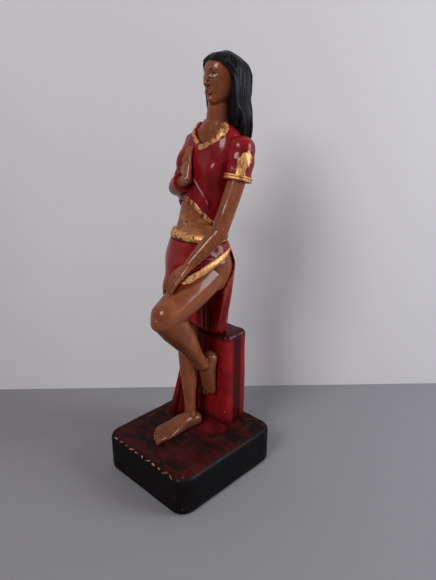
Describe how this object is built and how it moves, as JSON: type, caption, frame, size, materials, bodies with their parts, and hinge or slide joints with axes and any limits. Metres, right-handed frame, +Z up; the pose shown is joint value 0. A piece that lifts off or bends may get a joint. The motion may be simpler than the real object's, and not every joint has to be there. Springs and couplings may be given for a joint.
{
  "type": "papier-mache figure",
  "caption": "Free-standing painted papier-mache figure of a long-haired woman in a red bodice and wrap skirt, leaning a foot on a low pillar, on a rounded black base.",
  "frame": {"origin": "centre of the base's underside", "axes": "+Z up, the figure faces -Y, and her left is towards +X"},
  "size_m": [0.071, 0.08, 0.2453],
  "materials": {
    "skin_paint": "varnished brown paint",
    "red_paint": "varnished deep red paint",
    "gold_paint": "brushed-on gold paint",
    "black_paint": "varnished black paint",
    "ground_paint": "mottled dark red and black paint",
    "base_paint": "black painted wood",
    "wire_steel": "plain drawn wire"
  },
  "bodies": {
    "root": {"base_board": "base_paint", "ground_layer": "ground_paint", "pillar": "red_paint", "skirt_train": "red_paint", "torso": "skin_paint", "head": "skin_paint", "right_leg": "skin_paint", "left_leg": "skin_paint", "right_foot": "skin_paint", "left_foot": "skin_paint", "right_arm": "skin_paint", "left_arm": "skin_paint", "right_hand": "skin_paint", "left_hand": "skin_paint", "bodice": "red_paint", "bodice_hem": "gold_paint", "neckline_trim": "gold_paint", "right_sleeve": "red_paint", "left_sleeve": "red_paint", "left_cuff": "gold_paint", "skirt": "red_paint", "waistband": "gold_paint", "slit_trim": "gold_paint", "hair_back": "black_paint", "hair_lock_left": "black_paint", "hair_lock_right": "black_paint", "spine_wire": "wire_steel", "right_leg_wire": "wire_steel", "left_leg_wire": "wire_steel", "right_arm_wire": "wire_steel", "left_arm_wire": "wire_steel"}
  },
  "joints": []
}
